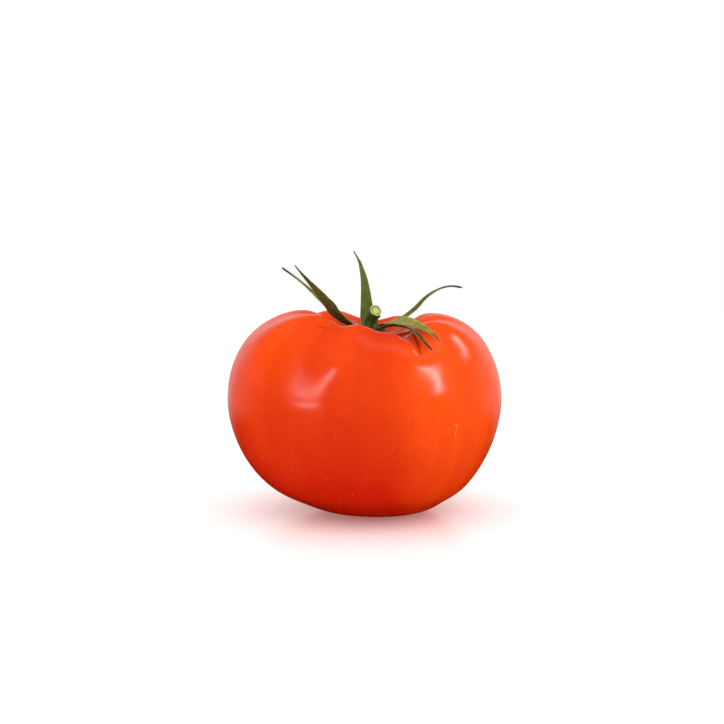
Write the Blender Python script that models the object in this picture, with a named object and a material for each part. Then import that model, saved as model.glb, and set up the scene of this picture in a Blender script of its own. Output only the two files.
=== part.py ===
"""A beefsteak tomato as picked: the lobed fruit, its calyx of six sepals, and the cut stub of its stem.

Metres, +Z up. The origin is on the surface that the fruit rests on, under its middle. -Y is the side with
the two drooping sepals, and +X is to the right as seen from there.
"""

import math
from collections import namedtuple

import bmesh
import bpy
import numpy as np
from mathutils import Matrix, Vector

MM = 0.001

# Driving dimensions of the fruit, in millimetres.
FRUIT_WIDTH = 90.8
FRUIT_DEPTH = 86.0
SHOULDER_HEIGHT = 65.8
CAVITY_DEPTH = 6.8
# The stem end and the blossom end lie towards +X of the fruit's middle, the second less with each bit of
# height over its reach.
STEM_END_SHIFT = 2.0
BLOSSOM_END_SHIFT = 4.4
BLOSSOM_END_REACH = 7.0
# How far the shoulders lean down towards +X and towards +Y.
SHOULDER_LEAN_X = 0.8
SHOULDER_LEAN_Y = 0.9

# Half of the fruit's outline, from the blossom end up to the rim of the stem cavity, as shares of its half
# width and of its shoulder height. The two points at height 0 are the flat spot that it rests on.
FLANK = [
    (0.000, 0.014),
    (0.055, 0.009),
    (0.105, 0.000),
    (0.250, 0.000),
    (0.345, 0.011),
    (0.430, 0.026),
    (0.530, 0.058),
    (0.700, 0.126),
    (0.845, 0.240),
    (0.951, 0.391),
    (1.000, 0.555),
    (0.970, 0.730),
    (0.855, 0.880),
    (0.680, 0.971),
    (0.490, 1.000),
]
# The wall and floor of the stem cavity, as shares of the half width and of the cavity's depth.
CAVITY = [
    (0.300, 0.520),
    (0.180, 0.120),
    (0.090, 0.010),
    (0.000, 0.000),
]
FRUIT_SEGMENTS = 72
FRUIT_RINGS = 43

# Stations are shares of the outline's length, from 0 at the blossom end to 1 on the cavity's floor. Furrows
# begin at their foot, are whole at the shoulder, and fade between the rim and the floor of the cavity.
FURROW_FOOT = 0.20
BROAD_FOOT = 0.45
CREASE_FOOT = 0.52
FURROW_WHOLE = 0.80
RIM = 0.86
FURROW_END = 0.99
LEAN_FOOT = 0.50
SHIFT_FOOT = 0.60

# A furrow runs out from the stem cavity and down the flank. Depth is at the shoulder, in millimetres, and
# half_width is in degrees.
Furrow = namedtuple("Furrow", "azimuth depth half_width foot")
FURROWS = [
    Furrow(-115.0, 2.4, 13.0, FURROW_FOOT),
    Furrow(-84.0, 0.8, 10.0, FURROW_FOOT),
    Furrow(-68.0, 4.2, 32.0, BROAD_FOOT),
    Furrow(-61.0, 2.2, 8.0, CREASE_FOOT),
    Furrow(-10.0, 1.3, 15.0, FURROW_FOOT),
    Furrow(51.0, 2.3, 12.0, FURROW_FOOT),
    Furrow(88.0, 4.0, 23.0, BROAD_FOOT),
    Furrow(140.0, 2.2, 13.0, FURROW_FOOT),
    Furrow(188.0, 1.2, 16.0, FURROW_FOOT),
]
FURROW_GROWTH = 2.2

# The calyx: a small disc that the sepals grow from, on the floor of the stem cavity. Millimetres.
CLEARANCE = 0.45
DISC_RADIUS = 5.2
DISC_THICKNESS = 1.3
# The disc's half section, as shares of its radius and thickness.
DISC_SECTION = [(0.0, 0.0), (0.75, 0.0), (1.0, 0.35), (0.9, 0.8), (0.65, 1.0), (0.0, 1.0)]
DISC_SEGMENTS = 24

# A sepal leaves the disc at its azimuth. Its path is reach from the disc's axis and rise above the disc's
# middle, in millimetres. Taper is how far along it stays wide: the blade's width falls off as the length
# to that power. Swerve is how far its tip bends sideways, and its blade is turned about its path by one roll
# near the root and another beyond, in degrees.
Sepal = namedtuple("Sepal", "name azimuth width taper swerve root_roll tip_roll path")
SEPALS = [
    Sepal("left_front", -155.0, 5.6, 1.5, 0.0, 10.0, 42.0,
          [(4.0, 0.4), (8.9, 2.6), (12.5, 5.7), (15.2, 9.2), (18.9, 13.4), (23.4, 18.2), (27.0, 22.4)]),
    Sepal("left_back", 165.0, 4.2, 1.3, 0.0, 0.0, -10.0,
          [(4.0, 0.3), (7.4, 1.9), (12.1, 4.8), (17.2, 9.4), (20.8, 12.7), (24.6, 15.9), (30.3, 19.8)]),
    Sepal("back", 94.0, 6.2, 1.0, 4.6, 0.0, 0.0,
          [(3.5, 0.5), (5.3, 2.9), (6.5, 7.8), (8.0, 14.1), (11.0, 20.1), (15.0, 24.7)]),
    Sepal("right_back", 27.0, 4.1, 0.8, 0.0, 0.0, 30.0,
          [(4.0, 0.4), (8.0, 1.4), (12.0, 3.2), (16.0, 5.7), (20.5, 9.5), (25.0, 12.0), (30.0, 13.0),
           (34.6, 12.3)]),
    Sepal("right_front", -48.5, 5.6, 1.6, -1.5, 5.0, 40.0,
          [(4.2, 1.2), (7.0, 2.5), (11.0, 3.7), (16.9, 4.3), (21.2, 4.1), (25.5, 3.3), (29.9, 2.1),
           (34.4, -0.4)]),
    Sepal("front", -58.0, 4.4, 1.7, 0.0, 0.0, -15.0,
          [(3.8, 0.4), (8.0, 1.6), (12.0, 2.6), (18.0, 3.2), (25.0, 2.6), (30.0, 0.4), (36.0, -2.5)]),
]
BLADE_THICKNESS = 0.7
TIP_WIDTH = 0.9
# A blade starts this far from the disc's axis, sunk in the disc.
ROOT_REACH = 1.0
ROOT_WIDTH_SHARE = 0.8
WIDEST_AT = 0.2
# A blade's edges stand above its midline by this share of its half width.
CHANNEL = 0.16
ROLL_BEGIN, ROLL_WHOLE = 0.20, 0.50
BLADE_STATIONS = 16
BLADE_COLUMNS = 5

# The stem stub's path from the middle of the disc's top, and its radius at each point, in millimetres.
STEM_PATH = [
    (0.0, 0.2, 0.0, 2.60),
    (0.1, 0.1, 1.2, 2.25),
    (0.4, -0.5, 3.0, 2.05),
    (1.0, -1.9, 4.5, 2.00),
    (1.7, -3.7, 5.7, 1.95),
]
STEM_RIBS = 5
STEM_RIB_HEIGHT = 0.08
STEM_STATIONS = 9
STEM_SIDES = 20

HALF_WIDTH = FRUIT_WIDTH / 2
DEPTH_SHARE = FRUIT_DEPTH / FRUIT_WIDTH
CAVITY_FLOOR = SHOULDER_HEIGHT - CAVITY_DEPTH
# The calyx's origin is in the middle of the disc's underside, and the stem's is in the middle of its foot.
CALYX_ORIGIN = Vector((STEM_END_SHIFT, 0.0, CAVITY_FLOOR + CLEARANCE))
STEM_ORIGIN = CALYX_ORIGIN + Vector((0.0, 0.0, DISC_THICKNESS + CLEARANCE))

STEPS_BETWEEN_KNOTS = 24
SAME_POINT = 0.001


def clear_scene():
    for obj in list(bpy.data.objects):
        bpy.data.objects.remove(obj, do_unlink=True)


def smooth_step(low, high, value):
    share = min(1.0, max(0.0, (value - low) / (high - low)))
    return share * share * (3 - 2 * share)


def smooth_path(points, count, before=None, after=None):
    """count points evenly spaced on a centripetal Catmull-Rom curve through the given ones.

    before and after are the points that the curve would go on to beyond its ends.
    """
    knots = np.array(points, float)
    first = 2 * knots[0] - knots[1] if before is None else before
    last = 2 * knots[-1] - knots[-2] if after is None else after
    knots = np.vstack([first, knots, last])
    times = np.append(0.0, np.cumsum(np.sqrt(np.linalg.norm(np.diff(knots, axis=0), axis=1))))
    dense = [knots[1]]
    for i in range(1, len(knots) - 2):
        for time in np.linspace(times[i], times[i + 1], STEPS_BETWEEN_KNOTS + 1)[1:]:
            dense.append(catmull_rom(knots[i - 1:i + 3], times[i - 1:i + 3], time))
    dense = np.array(dense)
    length = np.append(0.0, np.cumsum(np.linalg.norm(np.diff(dense, axis=0), axis=1)))
    wanted = np.linspace(0.0, length[-1], count)
    return np.column_stack([np.interp(wanted, length, column) for column in dense.T])


def catmull_rom(points, times, time):
    """The curve's point at a time between the second and the third of four points."""
    near = [mix(points, times, i, i + 1, time) for i in range(3)]
    wide = [
        mix(near, (times[0], times[2]), 0, 1, time),
        mix(near[1:], (times[1], times[3]), 0, 1, time),
    ]
    return mix(wide, times[1:3], 0, 1, time)


def mix(points, times, i, j, time):
    share = (time - times[i]) / (times[j] - times[i])
    return (1 - share) * points[i] + share * points[j]


def material(name, colour, roughness):
    made = bpy.data.materials.new(name)
    made.use_nodes = True
    shader = made.node_tree.nodes["Principled BSDF"]
    shader.inputs["Base Color"].default_value = (*colour, 1.0)
    shader.inputs["Roughness"].default_value = roughness
    shader.inputs["Metallic"].default_value = 0.0
    return made


def new_object(name, bm, finish, origin=(0.0, 0.0, 0.0)):
    """The bmesh, in millimetres round the origin, as a closed, smooth-shaded object in metres."""
    bmesh.ops.recalc_face_normals(bm, faces=bm.faces)
    bmesh.ops.transform(bm, matrix=Matrix.Scale(MM, 4), verts=bm.verts)
    mesh = bpy.data.meshes.new(name)
    bm.to_mesh(mesh)
    bm.free()
    mesh.shade_smooth()
    mesh.materials.append(finish)
    obj = bpy.data.objects.new(name, mesh)
    obj.location = Vector(origin) * MM
    bpy.context.scene.collection.objects.link(obj)
    return obj


def turn(bm, section, steps):
    """Spins a half section of vertices about the vertical axis."""
    edges = [bm.edges.new(pair) for pair in zip(section, section[1:])]
    bmesh.ops.spin(
        bm,
        geom=section + edges,
        axis=(0, 0, 1),
        cent=(0, 0, 0),
        angle=math.tau,
        steps=steps,
        use_merge=True,
    )
    bmesh.ops.remove_doubles(bm, verts=bm.verts, dist=SAME_POINT)
    bmesh.ops.recalc_face_normals(bm, faces=bm.faces)
    bm.normal_update()


def fruit_outline():
    """The fruit's half outline in millimetres, from the blossom end to the floor of the stem cavity."""
    flank = [(r * HALF_WIDTH, z * SHOULDER_HEIGHT) for r, z in FLANK]
    cavity = [(r * HALF_WIDTH, CAVITY_FLOOR + z * CAVITY_DEPTH) for r, z in CAVITY]
    points = flank + cavity
    before = (-points[1][0], points[1][1])
    after = (-points[-2][0], points[-2][1])
    return smooth_path(points, FRUIT_RINGS, before, after)


def furrow_depth(azimuth, station):
    """How far the skin lies below the plain turned shape, in millimetres."""
    depth = 0.0
    for furrow in FURROWS:
        away = (azimuth - furrow.azimuth + 180.0) % 360.0 - 180.0
        growth = smooth_step(furrow.foot, FURROW_WHOLE, station) ** FURROW_GROWTH
        depth += furrow.depth * growth * math.exp(-((away / furrow.half_width) ** 2))
    return depth * (1 - smooth_step(RIM, FURROW_END, station))


def shoulder_drop(azimuth, station):
    """How far the lean of the shoulders lowers the skin, in millimetres."""
    turned = math.radians(azimuth)
    drop = SHOULDER_LEAN_X * math.cos(turned) + SHOULDER_LEAN_Y * math.sin(turned)
    return drop * smooth_step(LEAN_FOOT, FURROW_WHOLE, station) * (1 - smooth_step(RIM, 1.0, station))


def axis_shift(station, height):
    """How far the middle of a ring lies towards +X, in millimetres."""
    blossom_end = BLOSSOM_END_SHIFT * math.exp(-height / BLOSSOM_END_REACH)
    return blossom_end + STEM_END_SHIFT * smooth_step(SHIFT_FOOT, RIM, station)


def make_fruit(finish):
    """A turned shape, furrowed from the stem cavity down, and leaning a little."""
    bm = bmesh.new()
    stations = bm.verts.layers.float.new("station")
    section = []
    for i, (radius, height) in enumerate(fruit_outline()):
        vert = bm.verts.new((max(radius, 0.0), 0.0, max(height, 0.0)))
        vert[stations] = i / (FRUIT_RINGS - 1)
        section.append(vert)
    turn(bm, section, FRUIT_SEGMENTS)
    places = []
    for vert in bm.verts:
        station = vert[stations]
        azimuth = math.degrees(math.atan2(vert.co.y, vert.co.x))
        place = vert.co - vert.normal * furrow_depth(azimuth, station)
        place.z = max(place.z - shoulder_drop(azimuth, station), 0.0)
        place.y *= DEPTH_SHARE
        place.x += axis_shift(station, place.z)
        places.append(place)
    for vert, place in zip(bm.verts, places):
        vert.co = place
    return new_object("fruit", bm, finish)


def make_disc(finish):
    """The low disc in the middle of the calyx."""
    bm = bmesh.new()
    section = []
    for radius, height in DISC_SECTION:
        section.append(bm.verts.new((radius * DISC_RADIUS, 0.0, height * DISC_THICKNESS)))
    turn(bm, section, DISC_SEGMENTS)
    return new_object("calyx", bm, finish, CALYX_ORIGIN)


def sepal_midline(sepal):
    """Points from the sepal's root in the disc to its tip, in millimetres from the calyx's origin."""
    reach, rise = smooth_path([(ROOT_REACH, 0.0), *sepal.path], BLADE_STATIONS).T
    side = sepal.swerve * (reach / reach[-1]) ** 2
    azimuth = math.radians(sepal.azimuth)
    return np.column_stack([
        reach * math.cos(azimuth) - side * math.sin(azimuth),
        reach * math.sin(azimuth) + side * math.cos(azimuth),
        DISC_THICKNESS / 2 + rise,
    ])


def blade_half_width(sepal, share):
    """Half of the blade's width at a share of its length: widest near the root, drawn out to a thin tip."""
    root = ROOT_WIDTH_SHARE + (1 - ROOT_WIDTH_SHARE) * smooth_step(0.0, WIDEST_AT, share)
    return max(sepal.width * root * (1 - share**sepal.taper), TIP_WIDTH) / 2


def blade_rows(bm, sepal):
    """The upper and the lower row of vertices at each station of a sepal."""
    midline = sepal_midline(sepal)
    tangents = np.gradient(midline, axis=0)
    azimuth = math.radians(sepal.azimuth)
    level = Vector((-math.sin(azimuth), math.cos(azimuth), 0.0))
    for i, (place, tangent) in enumerate(zip(midline, tangents)):
        share = i / (BLADE_STATIONS - 1)
        along = Vector(tangent).normalized()
        across = (level - along * level.dot(along)).normalized()
        roll = sepal.root_roll + (sepal.tip_roll - sepal.root_roll) * smooth_step(ROLL_BEGIN, ROLL_WHOLE, share)
        across.rotate(Matrix.Rotation(math.radians(roll), 3, along))
        up = along.cross(across)
        half_width = blade_half_width(sepal, share)
        rows = []
        for side in (BLADE_THICKNESS / 2, -BLADE_THICKNESS / 2):
            row = []
            for column in np.linspace(-1.0, 1.0, BLADE_COLUMNS):
                lift = CHANNEL * half_width * column**2 + side
                row.append(bm.verts.new(Vector(place) + across * half_width * column + up * lift))
            rows.append(row)
        yield rows


def strip(bm, near, far):
    """Two triangles between each pair of neighbours, all cut along the same diagonal."""
    for a, b, c, d in zip(near, near[1:], far, far[1:]):
        bm.faces.new((a, c, d))
        bm.faces.new((a, d, b))


def make_sepal(sepal, finish):
    """A thin, slightly channelled blade, split into triangles alike on both faces."""
    bm = bmesh.new()
    stations = list(blade_rows(bm, sepal))
    for (upper, lower), (next_upper, next_lower) in zip(stations, stations[1:]):
        strip(bm, upper, next_upper)
        strip(bm, lower, next_lower)
        for edge in (0, -1):
            strip(bm, [upper[edge], lower[edge]], [next_upper[edge], next_lower[edge]])
    for upper, lower in (stations[0], stations[-1]):
        strip(bm, upper, lower)
    return new_object("sepal_" + sepal.name, bm, finish, CALYX_ORIGIN)


def make_calyx(finish):
    """The disc and its sepals, joined into one solid."""
    calyx = make_disc(finish)
    sepals = bpy.data.collections.new("sepals")
    bpy.context.scene.collection.children.link(sepals)
    for sepal in SEPALS:
        blade = make_sepal(sepal, finish)
        bpy.context.scene.collection.objects.unlink(blade)
        sepals.objects.link(blade)
    union = calyx.modifiers.new("join_sepals", "BOOLEAN")
    union.operation = "UNION"
    union.operand_type = "COLLECTION"
    union.collection = sepals
    union.solver = "EXACT"
    graph = bpy.context.evaluated_depsgraph_get()
    joined = bpy.data.meshes.new_from_object(calyx.evaluated_get(graph))
    calyx.modifiers.clear()
    calyx.data = joined
    for blade in list(sepals.objects):
        bpy.data.objects.remove(blade, do_unlink=True)
    bpy.data.collections.remove(sepals)
    return calyx


def make_stem(finish):
    """The cut stub, a ribbed rod that bows towards -Y and ends in a flat cut."""
    path = smooth_path(STEM_PATH, STEM_STATIONS)
    tangents = np.gradient(path[:, :3], axis=0)
    tangents[0] = (0.0, 0.0, 1.0)
    bm = bmesh.new()
    rings = []
    for (x, y, z, radius), tangent in zip(path, tangents):
        along = Vector(tangent).normalized()
        across = (Vector((1, 0, 0)) - along * along.x).normalized()
        away = along.cross(across)
        ring = []
        for angle in np.linspace(0.0, math.tau, STEM_SIDES, endpoint=False):
            ribbed = radius + STEM_RIB_HEIGHT * math.cos(STEM_RIBS * angle)
            spoke = across * math.cos(angle) + away * math.sin(angle)
            ring.append(bm.verts.new(Vector((x, y, z)) + spoke * ribbed))
        rings.append(ring)
    for lower, upper in zip(rings, rings[1:]):
        strip(bm, lower + lower[:1], upper + upper[:1])
    bm.faces.new(rings[0])
    bm.faces.new(rings[-1])
    return new_object("stem", bm, finish, STEM_ORIGIN)


def main():
    clear_scene()
    make_fruit(material("ripe_skin", (0.83, 0.045, 0.004), 0.28))
    make_calyx(material("sepal_green", (0.107, 0.15, 0.0185), 0.6))
    make_stem(material("stem_green", (0.072, 0.102, 0.014), 0.6))


main()
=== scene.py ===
"""How a ripe beefsteak tomato looks: its lobed waxy fruit, its hairy calyx and the cut stub of its stem.

Metres, +Z up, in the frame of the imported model. Sizes are named in millimetres and turned to metres where
they are used. The shapes follow the same rules as the model's solids, at a finer step.
"""

import math
from collections import namedtuple

import bmesh
import bpy
import numpy as np
from mathutils import Matrix, Quaternion, Vector


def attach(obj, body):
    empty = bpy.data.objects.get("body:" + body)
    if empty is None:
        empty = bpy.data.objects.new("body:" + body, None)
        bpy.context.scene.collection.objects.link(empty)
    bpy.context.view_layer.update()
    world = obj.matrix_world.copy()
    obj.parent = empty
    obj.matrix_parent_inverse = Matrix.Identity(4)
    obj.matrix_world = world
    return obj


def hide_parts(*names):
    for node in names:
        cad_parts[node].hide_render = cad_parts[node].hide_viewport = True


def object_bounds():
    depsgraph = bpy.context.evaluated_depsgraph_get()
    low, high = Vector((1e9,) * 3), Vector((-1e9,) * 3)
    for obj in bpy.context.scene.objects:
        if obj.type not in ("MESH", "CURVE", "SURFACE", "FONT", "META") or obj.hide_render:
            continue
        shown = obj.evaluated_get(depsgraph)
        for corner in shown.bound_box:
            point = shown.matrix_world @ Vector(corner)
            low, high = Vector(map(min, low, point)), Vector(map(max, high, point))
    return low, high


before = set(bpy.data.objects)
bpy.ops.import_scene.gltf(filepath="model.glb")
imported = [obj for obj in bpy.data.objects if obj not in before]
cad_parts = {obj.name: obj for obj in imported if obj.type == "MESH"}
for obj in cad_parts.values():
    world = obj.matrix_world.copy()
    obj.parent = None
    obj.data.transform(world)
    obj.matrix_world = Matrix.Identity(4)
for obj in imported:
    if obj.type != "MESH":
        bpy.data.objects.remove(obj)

CAD_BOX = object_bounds()
MM = 0.001

# The fruit's driving dimensions, in millimetres, and its outline as shares of half width and height.
FRUIT_WIDTH = 90.8
FRUIT_DEPTH = 86.0
SHOULDER_HEIGHT = 65.8
CAVITY_DEPTH = 6.8
STEM_END_SHIFT = 2.0
BLOSSOM_END_SHIFT = 4.4
BLOSSOM_END_REACH = 7.0
SHOULDER_LEAN_X = 0.8
SHOULDER_LEAN_Y = 0.9
FLANK = [
    (0.000, 0.014), (0.055, 0.009), (0.105, 0.000), (0.250, 0.000), (0.345, 0.011),
    (0.430, 0.026), (0.530, 0.058), (0.700, 0.126), (0.845, 0.240), (0.951, 0.391),
    (1.000, 0.555), (0.970, 0.730), (0.855, 0.880), (0.680, 0.971), (0.490, 1.000),
]
CAVITY = [
    (0.300, 0.520), (0.180, 0.120), (0.090, 0.010), (0.000, 0.000),
]
OUTLINE_POINTS = 400
FRUIT_SEGMENTS = 360
FRUIT_RINGS = 220

# Stations are shares of the outline's length, from the blossom end to the floor of the stem cavity.
FURROW_FOOT = 0.20
BROAD_FOOT = 0.45
CREASE_FOOT = 0.52
FURROW_WHOLE = 0.80
RIM = 0.86
FURROW_END = 0.99
LEAN_FOOT = 0.50
SHIFT_FOOT = 0.60

# A furrow runs out from the stem cavity and down the flank: its azimuth and half width in degrees, its depth
# at the shoulder in millimetres, and the station where it begins.
Furrow = namedtuple("Furrow", "azimuth depth half_width foot")
FURROWS = [
    Furrow(-115.0, 2.4, 13.0, FURROW_FOOT),
    Furrow(-84.0, 0.8, 10.0, FURROW_FOOT),
    Furrow(-68.0, 4.2, 32.0, BROAD_FOOT),
    Furrow(-61.0, 2.2, 8.0, CREASE_FOOT),
    Furrow(-10.0, 1.3, 15.0, FURROW_FOOT),
    Furrow(51.0, 2.3, 12.0, FURROW_FOOT),
    Furrow(88.0, 4.0, 23.0, BROAD_FOOT),
    Furrow(140.0, 2.2, 13.0, FURROW_FOOT),
    Furrow(188.0, 1.2, 16.0, FURROW_FOOT),
]
# A furrow deepens by this power of its way from its foot to where it is whole.
FURROW_GROWTH = 2.2

# The front crease is pinched to a thin line that slants on its way down the shoulder: its azimuth at a
# station, and how many degrees it turns for each station more. The rest is as for a furrow.
PINCH_AZIMUTH, PINCH_STATION, PINCH_TURN = -60.6, 0.70, 60.0
PINCH_DEPTH, PINCH_HALF_WIDTH = 0.8, 2.2
PINCH_FOOT, PINCH_WHOLE = 0.63, 0.70

# The skin's own unevenness: its hollows' depth and spacing in millimetres, and its ridges' depth and number,
# with the stations where they begin and are whole. The skin lies inside the solid by its inset, but comes
# back to it below the level foot's height.
SWELL_DEPTH, SWELL_SPACING = 0.25, 17.0
RIDGE_DEPTH, RIDGES_ROUND = 0.08, 9.0
RIDGE_FOOT, RIDGE_WHOLE = 0.45, 0.80
SKIN_INSET = 0.04
LEVEL_FOOT_HEIGHT = 7.0

# The calyx: a disc on the floor of the stem cavity, and the sepals that grow from it.
CLEARANCE = 0.45
DISC_RADIUS = 5.2
DISC_THICKNESS = 1.3
DISC_SECTION = [(0.05, 0.0), (0.75, 0.0), (1.0, 0.35), (0.9, 0.8), (0.65, 1.0), (0.05, 1.0)]
DISC_RINGS, DISC_SIDES = 40, 144
# The disc's ribs and lobes: how many, their depth in millimetres and their turn in radians.
DISC_WAVES = [(24, 0.05, 0.0), (7, 0.04, 1.0)]
# A sepal is rolled about its midline, in degrees, by one amount near its root and another beyond. Its dryness
# and shade is how far it is darkened from green to brown, partly by drying and partly as painted shade, and
# yellowing how far its upper face has turned to yellow.
Sepal = namedtuple("Sepal", "name azimuth width taper swerve root_roll tip_roll dryness yellowing path")
SEPALS = [
    Sepal("left_front", -155.0, 5.6, 1.5, 0.0, 10.0, 42.0, 0.3, 0.0,
          [(4.0, 0.4), (8.9, 2.6), (12.5, 5.7), (15.2, 9.2), (18.9, 13.4), (23.4, 18.2), (27.0, 22.4)]),
    Sepal("left_back", 165.0, 4.2, 1.3, 0.0, 0.0, -10.0, 0.1, 0.1,
          [(4.0, 0.3), (7.4, 1.9), (12.1, 4.8), (17.2, 9.4), (20.8, 12.7), (24.6, 15.9), (30.3, 19.8)]),
    Sepal("back", 94.0, 6.2, 1.0, 4.6, 0.0, 0.0, 0.0, 0.0,
          [(3.5, 0.5), (5.3, 2.9), (6.5, 7.8), (8.0, 14.1), (11.0, 20.1), (15.0, 24.7)]),
    Sepal("right_back", 27.0, 4.1, 0.8, 0.0, 0.0, 30.0, 0.3, 0.2,
          [(4.0, 0.4), (8.0, 1.4), (12.0, 3.2), (16.0, 5.7), (20.5, 9.5), (25.0, 12.0), (30.0, 13.0),
           (34.6, 12.3)]),
    Sepal("right_front", -48.5, 5.6, 1.6, -1.5, 5.0, 40.0, 0.0, 0.7,
          [(4.2, 1.2), (7.0, 2.5), (11.0, 3.7), (16.9, 4.3), (21.2, 4.1), (25.5, 3.3), (29.9, 2.1),
           (34.4, -0.4)]),
    Sepal("front", -58.0, 4.4, 1.7, 0.0, 0.0, -15.0, 0.8, 0.0,
          [(3.8, 0.4), (8.0, 1.6), (12.0, 2.6), (18.0, 3.2), (25.0, 2.6), (30.0, 0.4), (36.0, -2.5)]),
]
# A blade's thickness, the depth of its midrib's groove and of its veins, and the height of its margin's
# waves, in millimetres. The channel is how far its edges stand up, as a share of its half width.
BLADE_THICKNESS, MIDRIB_DEPTH, VEIN_DEPTH, WAVE_HEIGHT = 0.50, 0.16, 0.025, 1.1
CHANNEL = 0.16
MIDRIB_SHARPNESS = 60.0
VEINS_ACROSS = 6.0
# How fast the waves change along a blade, from one seed to the next, and across it.
WAVE_RATES = (7.0, 1.0, 0.6)
WAVE_SEED_STEP = 3.0
TIP_WIDTH = 0.35
ROOT_REACH = 1.0
ROOT_WIDTH_SHARE = 0.8
WIDEST_AT = 0.2
ROLL_BEGIN, ROLL_WHOLE = 0.20, 0.50
PATH_POINTS = 120
BLADE_STATIONS = 110
BLADE_AROUND = 48
# A blade closes over these shares of its length, at its root in the disc and at its tip.
ROOT_CLOSES, TIP_CLOSES = 0.012, 0.03

# The stem stub's path from the middle of the disc's top, and its radius at each point.
STEM_PATH = [
    (0.0, 0.2, 0.0, 2.60),
    (0.1, 0.1, 1.2, 2.25),
    (0.4, -0.5, 3.0, 2.05),
    (1.0, -1.9, 4.5, 2.00),
    (1.7, -3.7, 5.7, 1.95),
]
STEM_RIBS = 5
STEM_RIB_HEIGHT = 0.08
# Finer ribs between these: how many, their share of the rib height, and their turn in radians.
FINE_RIBS, FINE_RIB_SHARE, FINE_RIB_TURN = 17, 0.35, 0.8
# A small knuckle on the stem's +X side: how far it stands out, its rise on the stem, its reach along the stem
# in millimetres and its half width round the stem in radians.
KNUCKLE_HEIGHT, KNUCKLE_RISE, KNUCKLE_REACH, KNUCKLE_HALF_WIDTH = 0.55, 3.9, 0.6, 0.35
STEM_STATIONS = 56
STEM_SIDES = 96
# The cut face from its edge to its middle: share of the radius, and height above the cut in millimetres.
CUT_SECTION = [
    (0.97, 0.00), (0.90, 0.03), (0.80, 0.00), (0.76, -0.10), (0.72, -0.34),
    (0.66, -0.36), (0.62, -0.10), (0.56, 0.02), (0.40, 0.05), (0.20, 0.00),
    (0.08, -0.06),
]
CUT_RINGS = 36
# The ribs die out on the cut face by this power of the share of the radius.
CUT_RIB_FADE = 6

# Hairs on a piece: how many on a square millimetre, their length in millimetres, and their seed.
Hairs = namedtuple("Hairs", "density length seed")
SEPAL_HAIRS = [Hairs(3.5, 0.7, seed) for seed in range(len(SEPALS))]
DISC_HAIRS = Hairs(4.0, 0.8, 20)
STEM_HAIRS = Hairs(4.0, 0.6, 21)
# A hair's thickness in millimetres, how far it may lean in radians, how far its tip bends as a share of its
# length, and the shortest one's share of the longest. None starts this close to the top of the model's box.
HAIR_THICKNESS, HAIR_LEAN, HAIR_BEND, SHORTEST_HAIR = 0.05, 0.6, 0.3, 0.45
HAIR_HEADROOM = 1.5

HALF_WIDTH = FRUIT_WIDTH / 2
DEPTH_SHARE = FRUIT_DEPTH / FRUIT_WIDTH
CAVITY_FLOOR = SHOULDER_HEIGHT - CAVITY_DEPTH
CALYX_ORIGIN = Vector((STEM_END_SHIFT, 0.0, CAVITY_FLOOR + CLEARANCE))
STEM_ORIGIN = CALYX_ORIGIN + Vector((0.0, 0.0, DISC_THICKNESS + CLEARANCE))

STEPS_BETWEEN_KNOTS = 24
# Points closer together than this, in metres, are made one.
SAME_POINT = 0.000002

# The camera looks down on the fruit by this many degrees.
CAMERA_ELEVATION = 8.0


def smooth_step(low, high, value):
    share = min(1.0, max(0.0, (value - low) / (high - low)))
    return share * share * (3 - 2 * share)


def smooth_path(points, count, before=None, after=None):
    """count points evenly spaced on a centripetal Catmull-Rom curve through the given ones.

    before and after are the points that the curve would go on to beyond its ends.
    """
    knots = np.array(points, float)
    first = 2 * knots[0] - knots[1] if before is None else before
    last = 2 * knots[-1] - knots[-2] if after is None else after
    knots = np.vstack([first, knots, last])
    times = np.append(0.0, np.cumsum(np.sqrt(np.linalg.norm(np.diff(knots, axis=0), axis=1))))
    dense = [knots[1]]
    for i in range(1, len(knots) - 2):
        for time in np.linspace(times[i], times[i + 1], STEPS_BETWEEN_KNOTS + 1)[1:]:
            dense.append(catmull_rom(knots[i - 1:i + 3], times[i - 1:i + 3], time))
    dense = np.array(dense)
    length = np.append(0.0, np.cumsum(np.linalg.norm(np.diff(dense, axis=0), axis=1)))
    wanted = np.linspace(0.0, length[-1], count)
    return np.column_stack([np.interp(wanted, length, column) for column in dense.T])


def catmull_rom(points, times, time):
    """The curve's point at a time between the second and the third of four points."""
    near = [between(points, times, i, i + 1, time) for i in range(3)]
    wide = [
        between(near, (times[0], times[2]), 0, 1, time),
        between(near[1:], (times[1], times[3]), 0, 1, time),
    ]
    return between(wide, times[1:3], 0, 1, time)


def between(points, times, i, j, time):
    share = (time - times[i]) / (times[j] - times[i])
    return (1 - share) * points[i] + share * points[j]


def colour(code):
    """An sRGB hex value as linear red, green, blue and alpha."""
    shares = [int(code[i:i + 2], 16) / 255 for i in (1, 3, 5)]
    linear = [share / 12.92 if share <= 0.04045 else ((share + 0.055) / 1.055) ** 2.4 for share in shares]
    return (*linear, 1.0)


def add(tree, kind, *inputs, named=None, **settings):
    """Adds a node. Its inputs, in order or by name, are values, nodes or sockets; settings its properties."""
    node = tree.nodes.new(kind)
    for key, value in settings.items():
        setattr(node, key, value)
    sockets = [socket for socket in node.inputs if socket.enabled]
    pairs = list(zip(sockets, inputs))
    for name, value in (named or {}).items():
        pairs.append((next(socket for socket in sockets if socket.name == name), value))
    for socket, value in pairs:
        if isinstance(value, bpy.types.Node):
            value = next(out for out in value.outputs if out.enabled)
        if isinstance(value, bpy.types.NodeSocket):
            tree.links.new(value, socket)
        elif value is not None:
            socket.default_value = value
    return node


def calc(tree, operation, *values, **settings):
    return add(tree, "ShaderNodeMath", *values, operation=operation, **settings)


def vector_calc(tree, operation, *values, **settings):
    return add(tree, "ShaderNodeVectorMath", *values, operation=operation, **settings)


def vector(tree, x, y, z):
    return add(tree, "ShaderNodeCombineXYZ", x, y, z)


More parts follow.
